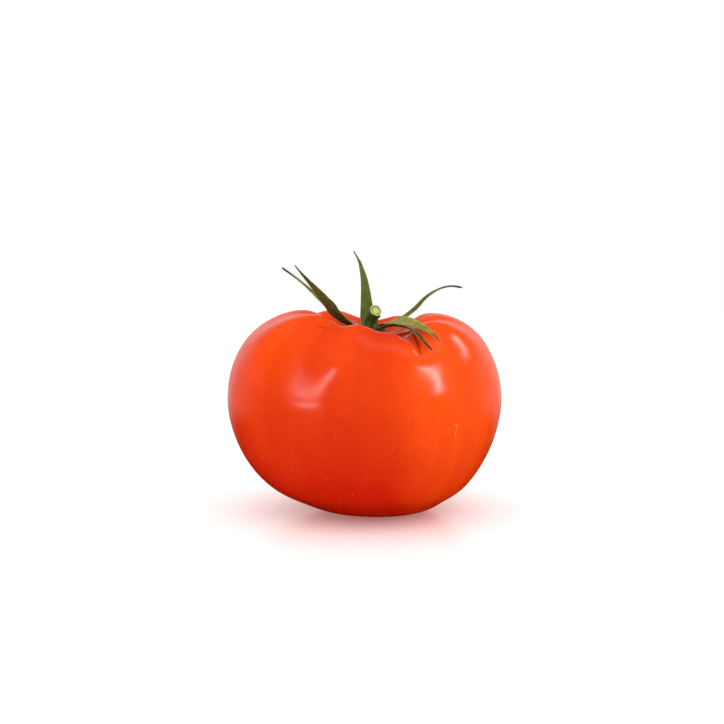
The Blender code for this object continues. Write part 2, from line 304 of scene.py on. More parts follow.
def parts(tree, whole):
    """A vector's X, Y and Z, by name."""
    return add(tree, "ShaderNodeSeparateXYZ", whole).outputs


def scaled(tree, whole, scale):
    return vector_calc(tree, "SCALE", whole, named={"Scale": scale})


def product(tree, first, *others):
    """The values multiplied, one after another."""
    for other in others:
        first = calc(tree, "MULTIPLY", first, other)
    return first


def ramp(tree, value, low, high, at_low, at_high, **settings):
    """Runs from at_low to at_high while the value runs from low to high, and goes on level beyond both."""
    return add(tree, "ShaderNodeMapRange", value, low, high, at_low, at_high, **settings)


def smooth_ramp(tree, *values):
    """A ramp that eases in and out."""
    return ramp(tree, *values, interpolation_type="SMOOTHSTEP")


def noise(tree, place, size, detail, roughness, distortion=0.0):
    """Noise in lumps of a size in millimetres."""
    return add(tree, "ShaderNodeTexNoise", place, 1 / (size * MM), detail, roughness, None, distortion)


def new_tree(name, inputs, output="Geometry"):
    """An empty geometry node group. Its inputs are given as names by their kind of socket."""
    tree = bpy.data.node_groups.new(name, "GeometryNodeTree")
    for kind, labels in inputs.items():
        for label in labels:
            tree.interface.new_socket(label, in_out="INPUT", socket_type="NodeSocket" + kind)
    tree.interface.new_socket("Result", in_out="OUTPUT", socket_type="NodeSocket" + output)
    return tree, add(tree, "NodeGroupInput").outputs


def new_object(name, data):
    """An object in the scene, at the origin."""
    made = bpy.data.objects.new(name, data)
    bpy.context.scene.collection.objects.link(made)
    return made


def grown(name, mesh, tree, values):
    """The plain mesh that a tree makes of a mesh, as an object at the origin."""
    obj = new_object(name, mesh)
    modifier = obj.modifiers.new(name, "NODES")
    modifier.node_group = tree
    for socket in tree.interface.items_tree:
        if socket.in_out == "INPUT" and socket.name in values:
            modifier[socket.identifier] = values[socket.name]
    graph = bpy.context.evaluated_depsgraph_get()
    made = bpy.data.meshes.new_from_object(obj.evaluated_get(graph))
    made.name = name
    obj.modifiers.clear()
    obj.data = made
    return obj


def keep(tree, shape, values, kind="FLOAT"):
    """Keeps values on a shape's points, each under its name."""
    for name, value in values.items():
        shape = add(tree, "GeometryNodeStoreNamedAttribute", shape, None, name, value, data_type=kind)
    return shape


def finish_tree(tree, shape, material):
    """Ends a group in real faces of one material."""
    shape = add(tree, "GeometryNodeRealizeInstances", shape)
    shape = add(tree, "GeometryNodeSetMaterial", shape, None, material)
    add(tree, "NodeGroupOutput", shape)


def polyline(name, points, vectors=None, numbers=None):
    """A mesh of points, in millimetres, joined in a row, with values of their own."""
    mesh = bpy.data.meshes.new(name)
    edges = [(i, i + 1) for i in range(len(points) - 1)]
    mesh.from_pydata([tuple(np.array(point) * MM) for point in points], edges, [])
    for kind, field, given in (("FLOAT_VECTOR", "vector", vectors), ("FLOAT", "value", numbers)):
        for label, values in (given or {}).items():
            attribute = mesh.attributes.new(label, kind, "POINT")
            attribute.data.foreach_set(field, np.array(values, float).ravel())
    return mesh


# Fruit


def fruit_outline():
    """The fruit's half outline in millimetres, from the blossom end to the floor of the stem cavity."""
    flank = [(r * HALF_WIDTH, z * SHOULDER_HEIGHT) for r, z in FLANK]
    cavity = [(r * HALF_WIDTH, CAVITY_FLOOR + z * CAVITY_DEPTH) for r, z in CAVITY]
    points = flank + cavity
    before = (-points[1][0], points[1][1])
    after = (-points[-2][0], points[-2][1])
    path = smooth_path(points, OUTLINE_POINTS, before, after)
    return [(max(radius, 0.0), 0.0, max(height, 0.0)) for radius, height in path]


def furrow_tree():
    """One furrow's depth at an azimuth: deepest along its middle and fading to both sides."""
    inputs = {"Float": ["Azimuth", "Station", "Foot", "Whole", "Middle", "Depth", "Half Width"]}
    tree, given = new_tree("furrow", inputs, "Float")
    away = calc(tree, "SUBTRACT", given["Azimuth"], given["Middle"])
    away = calc(tree, "WRAP", away, 180.0, -180.0)
    share = calc(tree, "DIVIDE", away, given["Half Width"])
    fall = calc(tree, "EXPONENT", product(tree, share, share, -1.0))
    growth = smooth_ramp(tree, given["Station"], given["Foot"], given["Whole"], 0.0, 1.0)
    growth = calc(tree, "POWER", growth, FURROW_GROWTH)
    add(tree, "NodeGroupOutput", product(tree, fall, given["Depth"], growth))
    return tree


def pinch_azimuth(tree, station):
    """The azimuth of the pinched line at a station, in degrees."""
    beyond = calc(tree, "SUBTRACT", station, PINCH_STATION)
    return calc(tree, "MULTIPLY_ADD", beyond, PINCH_TURN, PINCH_AZIMUTH)


def furrow_depth(tree, degrees, station):
    """How deep the pinch and the furrows are together, fading out on the stem cavity's wall."""
    furrow = furrow_tree()
    depth = add(tree, "GeometryNodeGroup", degrees, station, PINCH_FOOT, PINCH_WHOLE,
                pinch_azimuth(tree, station), PINCH_DEPTH * MM, PINCH_HALF_WIDTH, node_tree=furrow)
    for each in FURROWS:
        one = add(tree, "GeometryNodeGroup", degrees, station, each.foot, FURROW_WHOLE, each.azimuth,
                  each.depth * MM, each.half_width, node_tree=furrow)
        depth = calc(tree, "ADD", depth, one)
    return product(tree, depth, smooth_ramp(tree, station, RIM, FURROW_END, 1.0, 0.0))


def sunken_outline(tree, outline, station, depth):
    """The outline's radius and height at a station, moved inward by a depth."""
    curve = add(tree, "GeometryNodeMeshToCurve", outline)
    along = add(tree, "GeometryNodeSampleCurve", named={"Curves": curve, "Factor": station}, mode="FACTOR")
    tangent = parts(tree, along.outputs["Tangent"])
    point = parts(tree, along.outputs["Position"])
    radius = calc(tree, "MULTIPLY_ADD", product(tree, tangent["Z"], -1.0), depth, point["X"])
    return radius, calc(tree, "MULTIPLY_ADD", tangent["X"], depth, point["Z"])


def leaned(tree, height, station, spoke, lean):
    """The height after the shoulders' lean, never under the table."""
    lean = vector_calc(tree, "DOT_PRODUCT", spoke, lean).outputs["Value"]
    begin = smooth_ramp(tree, station, LEAN_FOOT, FURROW_WHOLE, 0.0, 1.0)
    end = smooth_ramp(tree, station, RIM, 1.0, 1.0, 0.0)
    return calc(tree, "MAXIMUM", calc(tree, "SUBTRACT", height, product(tree, lean, begin, end)), 0.0)


def end_shift(tree, height, station, given):
    """How far the fruit's two ends are shifted towards +X."""
    low = calc(tree, "DIVIDE", height, given["Blossom End Reach"])
    low = calc(tree, "EXPONENT", product(tree, low, -1.0))
    high = smooth_ramp(tree, station, SHIFT_FOOT, RIM, 0.0, given["Stem End Shift"])
    return calc(tree, "ADD", product(tree, low, given["Blossom End Shift"]), high)


def along_meridians(tree, station, spoke, count):
    """A place for a noise that is stretched along the meridians."""
    place = vector(tree, 0.0, 0.0, station)
    return vector_calc(tree, "MULTIPLY_ADD", spoke, (count,) * 3, place)


def unevenness(tree, given):
    """The skin's offset: broad hollows all over, and soft ridges that run out from the stem cavity."""
    spot = add(tree, "GeometryNodeInputPosition")
    swell = add(tree, "ShaderNodeTexNoise", spot, calc(tree, "DIVIDE", 1.0, given["Swell Spacing"]), 1.0, 0.4)
    station = add(tree, "GeometryNodeInputNamedAttribute", "station")
    spoke = add(tree, "GeometryNodeInputNamedAttribute", "spoke", data_type="FLOAT_VECTOR")
    place = along_meridians(tree, station, spoke, RIDGES_ROUND)
    ridge = add(tree, "ShaderNodeTexNoise", place, 1.0, 1.0, 0.5)
    ridge_depth = smooth_ramp(tree, station, RIDGE_FOOT, RIDGE_WHOLE, 0.0, given["Ridge Depth"])
    swell, ridge = product(tree, swell, given["Swell Depth"]), product(tree, ridge, ridge_depth)
    inward = calc(tree, "ADD", calc(tree, "ADD", swell, ridge), given["Inset"])
    height = parts(tree, spot)["Z"]
    foot = smooth_ramp(tree, height, 0.0, LEVEL_FOOT_HEIGHT * MM, 0.0, -1.0)
    normal = add(tree, "GeometryNodeInputNormal")
    return scaled(tree, normal, product(tree, inward, foot))


def fruit_tree():
    """Turns the outline, sinks the furrows, leans the shoulders and gives the skin its soft unevenness."""
    tree, given = new_tree("lobed_fruit", {
        "Geometry": ["Outline"],
        "Int": ["Segments", "Rings"],
        "Float": ["Depth Share", "Stem End Shift", "Blossom End Shift", "Blossom End Reach",
                  "Swell Depth", "Swell Spacing", "Ridge Depth", "Inset"],
        "Vector": ["Lean"],
        "Material": ["Skin"],
    })
    columns = calc(tree, "ADD", given["Segments"], 1.0)
    grid = add(tree, "GeometryNodeMeshGrid", 1.0, 1.0, columns, given["Rings"])
    place = parts(tree, grid.outputs["UV Map"])
    station = place["Y"]
    degrees = product(tree, place["X"], 360.0)
    azimuth = calc(tree, "RADIANS", degrees)
    cosine, sine = calc(tree, "COSINE", azimuth), calc(tree, "SINE", azimuth)
    spoke = vector(tree, cosine, sine, 0.0)
    depth = furrow_depth(tree, degrees, station)
    radius, height = sunken_outline(tree, given["Outline"], station, depth)
    height = leaned(tree, height, station, spoke, given["Lean"])
    x = calc(tree, "MULTIPLY_ADD", radius, cosine, end_shift(tree, height, station, given))
    y = product(tree, radius, sine, given["Depth Share"])
    turned = vector(tree, x, y, height)
    shape = add(tree, "GeometryNodeSetPosition", grid, None, turned)
    shape = keep(tree, shape, {"station": station, "sunk": depth})
    shape = keep(tree, shape, {"spoke": spoke}, "FLOAT_VECTOR")
    shape = add(tree, "GeometryNodeMergeByDistance", shape, None, SAME_POINT)
    shape = add(tree, "GeometryNodeSetPosition", shape, None, None, unevenness(tree, given))
    shape = add(tree, "GeometryNodeSetShadeSmooth", shape)
    finish_tree(tree, shape, given["Skin"])
    return tree


def make_fruit(skin):
    outline = polyline("outline", fruit_outline())
    values = {
        "Segments": FRUIT_SEGMENTS,
        "Rings": FRUIT_RINGS,
        "Depth Share": DEPTH_SHARE,
        "Stem End Shift": STEM_END_SHIFT * MM,
        "Blossom End Shift": BLOSSOM_END_SHIFT * MM,
        "Blossom End Reach": BLOSSOM_END_REACH * MM,
        "Lean": (SHOULDER_LEAN_X * MM, SHOULDER_LEAN_Y * MM, 0.0),
        "Swell Depth": SWELL_DEPTH * MM,
        "Swell Spacing": SWELL_SPACING * MM,
        "Ridge Depth": RIDGE_DEPTH * MM,
        "Inset": SKIN_INSET * MM,
        "Skin": skin,
    }
    return grown("fruit_skin", outline, fruit_tree(), values)


# Sepals


def sepal_midline(sepal):
    """Points from the sepal's root in the disc to its tip, in millimetres."""
    reach, rise = smooth_path([(ROOT_REACH, 0.0), *sepal.path], PATH_POINTS).T
    side = sepal.swerve * (reach / reach[-1]) ** 2
    azimuth = math.radians(sepal.azimuth)
    return np.column_stack([
        CALYX_ORIGIN.x + reach * math.cos(azimuth) - side * math.sin(azimuth),
        CALYX_ORIGIN.y + reach * math.sin(azimuth) + side * math.cos(azimuth),
        CALYX_ORIGIN.z + DISC_THICKNESS / 2 + rise,
    ])


def blade_half_width(sepal, share):
    """Half of the blade's width at a share of its length: widest near the root, drawn out to a thin tip."""
    root = ROOT_WIDTH_SHARE + (1 - ROOT_WIDTH_SHARE) * smooth_step(0.0, WIDEST_AT, share)
    return max(sepal.width * root * (1 - share**sepal.taper), TIP_WIDTH) / 2


def closing(share):
    """0 at both ends of a blade and 1 between them, rounded like the end of an ellipse."""
    toward = min(1.0, share / ROOT_CLOSES, (1.0 - share) / TIP_CLOSES)
    return math.sqrt(max(0.0, 1.0 - (1.0 - toward) ** 2))


def sepal_path(sepal):
    """The blade's midline with the directions across and up, and its half width, at each point."""
    midline = sepal_midline(sepal)
    azimuth = math.radians(sepal.azimuth)
    level = Vector((-math.sin(azimuth), math.cos(azimuth), 0.0))
    values = {"across": [], "up": [], "half_width": [], "closing": []}
    for i, tangent in enumerate(np.gradient(midline, axis=0)):
        share = i / (PATH_POINTS - 1)
        along = Vector(tangent).normalized()
        across = (level - along * level.dot(along)).normalized()
        rolled = smooth_step(ROLL_BEGIN, ROLL_WHOLE, share)
        roll = sepal.root_roll + (sepal.tip_roll - sepal.root_roll) * rolled
        across.rotate(Matrix.Rotation(math.radians(roll), 3, along))
        values["across"].append(across)
        values["up"].append(along.cross(across))
        values["half_width"].append(blade_half_width(sepal, share) * closing(share) * MM)
        values["closing"].append(closing(share))
    vectors = {"across": values["across"], "up": values["up"]}
    numbers = {"half_width": values["half_width"], "closing": values["closing"]}
    return polyline("path_" + sepal.name, midline, vectors, numbers)


def margin_wave(tree, given, share, column, edge, closing):
    """Waves along the margin: each side has its own, and they grow towards the edge."""
    place = vector(tree, share, given["Seed"], column)
    place = vector_calc(tree, "MULTIPLY", place, WAVE_RATES)
    wave = calc(tree, "SUBTRACT", add(tree, "ShaderNodeTexNoise", place, 1.0, 1.5, 0.5), 0.5)
    return product(tree, wave, given["Wave"], closing, edge)


def grooves(tree, given, column, edge, closing):
    """How deep the midrib's groove and the veins beside it are."""
    rib = calc(tree, "EXPONENT", product(tree, edge, -MIDRIB_SHARPNESS))
    veins = calc(tree, "COSINE", product(tree, column, VEINS_ACROSS * math.pi))
    veins = calc(tree, "MULTIPLY_ADD", veins, given["Vein"], product(tree, rib, given["Midrib"]))
    return product(tree, veins, closing)


def sepal_tree():
    """Sweeps a leaf's section along a path: thin at its edges, grooved at the midrib, waved at the margin."""
    tree, given = new_tree("sepal_blade", {
        "Geometry": ["Path"],
        "Int": ["Stations", "Around"],
        "Float": ["Thickness", "Channel", "Midrib", "Vein", "Wave", "Seed", "Dryness", "Yellowing"],
        "Material": ["Leaf"],
    })
    columns = calc(tree, "ADD", given["Around"], 1.0)
    grid = add(tree, "GeometryNodeMeshGrid", 1.0, 1.0, columns, given["Stations"])
    place = parts(tree, grid.outputs["UV Map"])
    share = place["Y"]
    turn = product(tree, place["X"], math.tau)
    column, face = calc(tree, "COSINE", turn), calc(tree, "SINE", turn)

    curve = add(tree, "GeometryNodeMeshToCurve", given["Path"])
    sampled = []
    for name, kind in (("across", "FLOAT_VECTOR"), ("up", "FLOAT_VECTOR"), ("half_width", "FLOAT"),
                       ("closing", "FLOAT")):
        value = add(tree, "GeometryNodeInputNamedAttribute", name, data_type=kind)
        sampled.append(add(tree, "GeometryNodeSampleCurve", curve, value, share, mode="FACTOR",
                           data_type=kind))
    across, up, half_width, closing = sampled

    edge = product(tree, column, column)
    wave = margin_wave(tree, given, share, column, edge, closing)
    lift = calc(tree, "MULTIPLY_ADD", product(tree, edge, given["Channel"]), half_width, wave)
    body = product(tree, face, given["Thickness"], closing)
    lift = calc(tree, "MULTIPLY_ADD", body, 0.5, lift)
    lift = calc(tree, "SUBTRACT", lift, grooves(tree, given, column, edge, closing))
    aside = scaled(tree, across, product(tree, column, half_width))
    above = scaled(tree, up, lift)
    spot = vector_calc(tree, "ADD", across.outputs["Position"], aside)
    spot = vector_calc(tree, "ADD", spot, above)
    blade = add(tree, "GeometryNodeSetPosition", grid, None, spot)
    blade = keep(tree, blade, {"share": share, "column": column, "face": face})
    blade = keep(tree, blade, {"dryness": given["Dryness"], "yellowing": given["Yellowing"]})
    blade = add(tree, "GeometryNodeMergeByDistance", blade, None, SAME_POINT)
    blade = add(tree, "GeometryNodeSetShadeSmooth", blade)
    finish_tree(tree, blade, given["Leaf"])
    return tree


def make_sepals(leaf):
    tree = sepal_tree()
    sepals = []
    for i, sepal in enumerate(SEPALS):
        values = {
            "Stations": BLADE_STATIONS,
            "Around": BLADE_AROUND,
            "Thickness": BLADE_THICKNESS * MM,
            "Channel": CHANNEL,
            "Midrib": MIDRIB_DEPTH * MM,
            "Vein": VEIN_DEPTH * MM,
            "Wave": WAVE_HEIGHT * MM,
            "Seed": WAVE_SEED_STEP * i,
            "Dryness": sepal.dryness,
            "Yellowing": sepal.yellowing,
            "Leaf": leaf,
        }
        sepals.append(grown("sepal_" + sepal.name, sepal_path(sepal), tree, values))
    return sepals


# Disc and stem


def ringed_mesh(name, rings, values, finish):
    """A closed, smooth-shaded skin over rings of points in millimetres, with one value for each ring."""
    bm = bmesh.new()
    layers = {label: bm.verts.layers.float.new(label) for label in values}
    made = []
    for i, ring in enumerate(rings):
        verts = [bm.verts.new(Vector(point) * MM) for point in ring]
        for label, layer in layers.items():
            for vert in verts:
                vert[layer] = values[label][i]
        made.append(verts)
    for lower, upper in zip(made, made[1:]):
        for a, b, c, d in zip(lower, lower[1:] + lower[:1], upper[1:] + upper[:1], upper):
            bm.faces.new((a, b, c, d))
    for end in (made[0], made[-1]):
        middle = bm.verts.new(sum((vert.co for vert in end), Vector()) / len(end))
        for label, layer in layers.items():
            middle[layer] = end[0][layer]
        for a, b in zip(end, end[1:] + end[:1]):
            bm.faces.new((a, b, middle))
    bmesh.ops.recalc_face_normals(bm, faces=bm.faces)
    mesh = bpy.data.meshes.new(name)
    bm.to_mesh(mesh)
    bm.free()
    mesh.shade_smooth()
    mesh.materials.append(finish)
    return new_object(name, mesh)


def make_disc(finish):
    """The low disc in the middle of the calyx, finely ribbed and softly lobed."""
    rings = []
    for share, rise in smooth_path(DISC_SECTION, DISC_RINGS):
        ring = []
        for angle in np.linspace(0.0, math.tau, DISC_SIDES, endpoint=False):
            radius = share * DISC_RADIUS
            for count, depth, turn in DISC_WAVES:
                radius -= depth * share * (1 + math.cos(count * angle + turn))
            point = Vector((radius * math.cos(angle), radius * math.sin(angle), rise * DISC_THICKNESS))
            ring.append(CALYX_ORIGIN + point)
        rings.append(ring)
    return ringed_mesh("calyx_disc", rings, {"share": np.zeros(len(rings))}, finish)


def stem_ring(middle, across, away, radius, rib_height, knuckle=0.0):
    """One ribbed ring of the stem round a middle point."""
    ring = []
    for angle in np.linspace(0.0, math.tau, STEM_SIDES, endpoint=False):
        ribs = rib_height * math.cos(STEM_RIBS * angle)
        fine = FINE_RIB_SHARE * rib_height * (1 + math.cos(FINE_RIBS * angle + FINE_RIB_TURN))
        bump = knuckle * math.exp(-(math.remainder(angle, math.tau) / KNUCKLE_HALF_WIDTH) ** 2)
        outward = across * math.cos(angle) + away * math.sin(angle)
        ring.append(middle + outward * (radius + ribs - fine + bump))
    return ring


def make_stem(finish):
    """The cut stub: a ribbed rod, and a cut face of rim, sunken ring and pith.

    Its mesh keeps a value, cut: 0 on the rod, and on the cut face 2 less the share of the radius.
    """
    path = smooth_path(STEM_PATH, STEM_STATIONS)
    tangents = np.gradient(path[:, :3], axis=0)
    tangents[0] = (0.0, 0.0, 1.0)
    rings = []
    cut = []
    for (x, y, z, radius), tangent in zip(path, tangents):
        along = Vector(tangent).normalized()
        across = (Vector((1, 0, 0)) - along * along.x).normalized()
        away = along.cross(across)
        middle = STEM_ORIGIN + Vector((x, y, z))
        knuckle = KNUCKLE_HEIGHT * math.exp(-((z - KNUCKLE_RISE) / KNUCKLE_REACH) ** 2)
        rings.append(stem_ring(middle, across, away, radius, STEM_RIB_HEIGHT, knuckle))
        cut.append(0.0)
    for share, rise in smooth_path(CUT_SECTION, CUT_RINGS):
        ribs = STEM_RIB_HEIGHT * share**CUT_RIB_FADE
        rings.append(stem_ring(middle + along * rise, across, away, radius * share, ribs))
        cut.append(2.0 - share)
    return ringed_mesh("stem_stub", rings, {"cut": cut}, finish)


# Hairs


def one_hair(tree, given):
    """A three-sided hair, a unit long and bent. Its root's radius is a share of its length."""
    root = calc(tree, "DIVIDE", given["Thickness"], given["Length"])
    cone = add(tree, "GeometryNodeMeshCone", fill_type="NONE", named={
        "Vertices": 3,
        "Side Segments": 3,
        "Radius Top": 0.0,
        "Radius Bottom": product(tree, root, 0.5),
        "Depth": 1.0,
    })
    height = parts(tree, add(tree, "GeometryNodeInputPosition"))["Z"]
    bend = vector(tree, product(tree, height, height, HAIR_BEND), 0.0, 0.0)
    return add(tree, "GeometryNodeSetPosition", cone.outputs["Mesh"], None, None, bend)


def hair_tree():
    """Short tapered hairs that stand on a surface, each leaning and bending its own way."""
    tree, given = new_tree("short_hairs", {
        "Geometry": ["Surface"],
        "Float": ["Density", "Length", "Thickness", "Lean", "Highest"],
        "Int": ["Seed"],
        "Material": ["Hair"],
    })
    seed = {"Seed": given["Seed"]}
    points = add(tree, "GeometryNodeDistributePointsOnFaces", given["Surface"],
                 named={"Density": given["Density"], **seed})
    height = parts(tree, add(tree, "GeometryNodeInputPosition"))["Z"]
    too_high = add(tree, "FunctionNodeCompare", height, given["Highest"], operation="GREATER_THAN")
    kept = add(tree, "GeometryNodeDeleteGeometry", points, too_high)

    low = product(tree, given["Lean"], -1.0)
    least = vector(tree, low, low, 0.0)
    most = vector(tree, given["Lean"], given["Lean"], math.tau)
    lean = add(tree, "FunctionNodeRandomValue", least, most, named=seed, data_type="FLOAT_VECTOR")
    lean = add(tree, "FunctionNodeEulerToRotation", lean)
    size = add(tree, "FunctionNodeRandomValue", SHORTEST_HAIR, 1.0, named=seed, data_type="FLOAT")
    length = product(tree, size, given["Length"])
    hairs = add(tree, "GeometryNodeInstanceOnPoints", kept, named={
        "Instance": one_hair(tree, given),
        "Rotation": add(tree, "FunctionNodeRotateRotation", points.outputs["Rotation"], lean,
                        rotation_space="LOCAL"),
        "Scale": vector(tree, length, length, length),
    })
    finish_tree(tree, hairs, given["Hair"])
    return tree


def make_hairs(name, surface, tree, hairs, finish):
    """Hairs on a copy of a piece's mesh."""
    values = {
        "Density": hairs.density / MM**2,
        "Length": hairs.length * MM,
        "Thickness": HAIR_THICKNESS * MM,
        "Lean": HAIR_LEAN,
        "Highest": CAD_BOX[1].z - HAIR_HEADROOM * MM,
        "Seed": hairs.seed,
        "Hair": finish,
    }
    return grown(name, surface.data.copy(), tree, values)


# Materials


def new_material(name):
    made = bpy.data.materials.new(name)
    made.use_nodes = True
    made.node_tree.nodes.clear()
    return made, made.node_tree


def finish_material(tree, values):
    """Ends a material in one surface with named values."""
    shader = add(tree, "ShaderNodeBsdfPrincipled", named=values)
    add(tree, "ShaderNodeOutputMaterial", shader)


def attribute(tree, name, output="Fac"):
    """What a mesh keeps under a name."""
    return add(tree, "ShaderNodeAttribute", attribute_name=name).outputs[output]


def blend(tree, share, first, second):
    """The colour at a share of the way from the first to the second, which are sockets or hex values."""
    ends = [colour(end) if isinstance(end, str) else end for end in (first, second)]
    return add(tree, "ShaderNodeMix", share, *ends, data_type="RGBA")


def relief(tree, height, strength, depth):
    """Fine bumps, a depth in millimetres deep."""
    return add(tree, "ShaderNodeBump", named={"Strength": strength, "Distance": depth * MM, "Height": height})


# A ramp is four values: low, high, and what it comes to at each. It follows a place in metres, a station or
# a noise. Sizes and spacings are in millimetres.
# How orange the skin is, from 0 for deep red to 1: with height, partly as painted light from above, towards
# +X, by a broad noise, and less for each millimetre that a furrow is deep, as painted shade.
ORANGE_BY_HEIGHT = (0.0, 0.062, 0.0, 1.1)
ORANGE_BY_SIDE = (0.004, 0.022, -0.50, 0.12)
ORANGE_DRIFT, ORANGE_DRIFT_SIZE = 0.5, 16.0
FURROW_SHADE = 0.12
BLOTCH_SIZE, BLOTCH_DISTORTION = 4.0, 0.8
BLOTCH_COVER = (0.45, 0.70, 0.0, 0.20)
STREAKS_ROUND = 5.0
STREAK_COVER = (0.40, 0.70, 0.0, 0.24)
# The pinched line's painted shade: its cover by degrees from its middle, and by station.
LINE_ACROSS = (0.2, 1.2, 1.0, 0.0)
LINE_ALONG = (0.64, 0.74, 0.0, 0.75)
# By station: painted shade on the stem cavity's walls, cork on its floor and the scar at the blossom end.
CAVITY_SHADE_COVER = (0.84, 0.93, 0.0, 0.5)
CORK_COVER = (0.935, 0.985, 0.0, 1.0)
SCAR_COVER = (0.010, 0.020, 0.9, 0.0)
# Dots: their spacing, and their cover by the distance from their middle in spacings and by a random draw.
FLECK_SPACING, FLECK_ACROSS, FLECK_DRAW = 1.5, (0.08, 0.20, 1.0, 0.0), (0.45, 0.95, 0.0, 1.0)
PORE_SPACING, PORE_ACROSS, PORE_DRAW = 2.3, (0.04, 0.09, 1.0, 0.0), (0.6, 1.0, 0.0, 0.35)
SCUFF_SIZE, SCUFF_DISTORTION = 3.2, 2.2
SCUFF_COVER = (0.66, 0.72, 0.0, 0.7)
# How much of the flecks and scuffs shows, by height.
SPECKLED_BY_HEIGHT = (0.052, 0.022, 0.06, 0.30)
GLOSS_SIZE, GLOSS_ROUGHNESS = 9.0, (0.3, 0.7, 0.15, 0.23)

# Small healed scratches and specks on the front: where each begins and ends, in millimetres towards +X and up
# as seen from the camera's height, its half width in millimetres, its colour and how much it covers.
Mark = namedtuple("Mark", "start end half_width tint cover")
MARKS = [
    Mark((-14.8, 60.4), (-11.9, 59.4), 0.35, "#7A2E0C", 0.55),
    Mark((29.0, 29.2), (28.3, 25.7), 0.28, "#FFA468", 0.35),
    Mark((29.0, 29.2), (27.9, 29.0), 0.22, "#FFA468", 0.30),
    Mark((38.6, 18.6), (38.9, 18.2), 0.40, "#7A1604", 0.7),
    Mark((42.0, 23.4), (42.2, 23.0), 0.35, "#7A1604", 0.6),
]
# The share of a mark's half width that it covers in full, and how its edge wavers: how far and in what size.
MARK_CORE = 0.3
WAVER_REACH, WAVER_SIZE = 0.8, 1.2


def mark_cover(tree, front, mark):
    """How much a mark covers at a place of the front: its full share along its line, none past its edge."""
    start, run = (*mark.start, 0.0), (*np.subtract(mark.end, mark.start), 0.0)
    away = vector_calc(tree, "SUBTRACT", front, tuple(np.multiply(start, MM)))
    share = tuple(np.divide(run, np.dot(run, run) * MM))
    along = vector_calc(tree, "DOT_PRODUCT", away, share).outputs["Value"]
    along = calc(tree, "MULTIPLY", along, 1.0, use_clamp=True)
    nearest = scaled(tree, tuple(np.multiply(run, MM)), along)
    apart = vector_calc(tree, "DISTANCE", away, nearest).outputs["Value"]
    edge = mark.half_width * MM
    return ramp(tree, apart, MARK_CORE * edge, edge, mark.cover, 0.0)


def ripe_colour_and_painted_light(tree, place, part):
    """Deep red to orange: orange rises with height, partly as painted light, and towards +X; furrows get
    painted shade.
    """
    # More orange higher up: partly the skin's tone, partly painted light from above.
    orange = ramp(tree, part["Z"], *ORANGE_BY_HEIGHT)
    drift = noise(tree, place, ORANGE_DRIFT_SIZE, 5.0, 0.6)
    orange = calc(tree, "MULTIPLY_ADD", drift, ORANGE_DRIFT, orange)
    orange = calc(tree, "ADD", orange, smooth_ramp(tree, part["X"], *ORANGE_BY_SIDE))
    # Deeper red where a furrow is deep: painted shade.
    sunk = attribute(tree, "sunk")
    orange = calc(tree, "MULTIPLY_ADD", sunk, -FURROW_SHADE / MM, orange, use_clamp=True)
    return blend(tree, orange, "#BC1C00", "#E64A04")


def with_blotches(tree, place, base):
    """Soft blotches where the colour came in later."""
    blotch = noise(tree, place, BLOTCH_SIZE, 4.0, 0.6, BLOTCH_DISTORTION)
    return blend(tree, ramp(tree, blotch, *BLOTCH_COVER), base, "#C62604")


def with_streaks(tree, station, spoke, base):
    """Faint streaks that follow the meridians, a few millimetres wide."""
    place = along_meridians(tree, station, spoke, STREAKS_ROUND)
    streak = add(tree, "ShaderNodeTexNoise", place, 1.0, 3.0, 0.55)
    return blend(tree, ramp(tree, streak, *STREAK_COVER), base, "#B01902")


def with_painted_crease_shade(tree, station, spoke, base):
    """Painted shade along the pinched line of the front crease: thin and dark red, it fades out at its lower
    end.
    """
    axes = parts(tree, spoke)
    azimuth = calc(tree, "DEGREES", calc(tree, "ARCTAN2", axes["Y"], axes["X"]))
    away = calc(tree, "SUBTRACT", azimuth, pinch_azimuth(tree, station))
    line = smooth_ramp(tree, calc(tree, "ABSOLUTE", away), *LINE_ACROSS)
    line = product(tree, line, smooth_ramp(tree, station, *LINE_ALONG))
    return blend(tree, line, base, "#6E1002")


def with_ends(tree, station, base):
    """Painted shade, deep red, on the walls of the stem cavity; brown cork on its floor, and a corky scar at
    the blossom end.
    """
    # Painted shade on the walls of the stem cavity.
    base = blend(tree, smooth_ramp(tree, station, *CAVITY_SHADE_COVER), base, "#921804")
    base = blend(tree, smooth_ramp(tree, station, *CORK_COVER), base, "#C8862E")
    return blend(tree, ramp(tree, station, *SCAR_COVER), base, "#7A5A34")


def dots(tree, place, spacing, across, draw):
    """Round dots, one to a cell of a spacing in millimetres, each as strong as its cell's draw."""
    cells = add(tree, "ShaderNodeTexVoronoi", place, 1 / (spacing * MM)).outputs
    drawn = parts(tree, cells["Color"])["X"]
    return product(tree, ramp(tree, cells["Distance"], *across), ramp(tree, drawn, *draw))


def with_speckles(tree, place, part, base):
    """Pale flecks where the wax is thin and short curved scuffs, more of them lower down, and dark pores."""
    shown = ramp(tree, part["Z"], *SPECKLED_BY_HEIGHT)
    flecks = dots(tree, place, FLECK_SPACING, FLECK_ACROSS, FLECK_DRAW)
    base = blend(tree, product(tree, flecks, shown), base, "#FF8A50")
    scuffs = ramp(tree, noise(tree, place, SCUFF_SIZE, 2.0, 0.5, SCUFF_DISTORTION), *SCUFF_COVER)
    base = blend(tree, product(tree, scuffs, shown), base, "#F2602A")
    return blend(tree, dots(tree, place, PORE_SPACING, PORE_ACROSS, PORE_DRAW), base, "#8E1602")


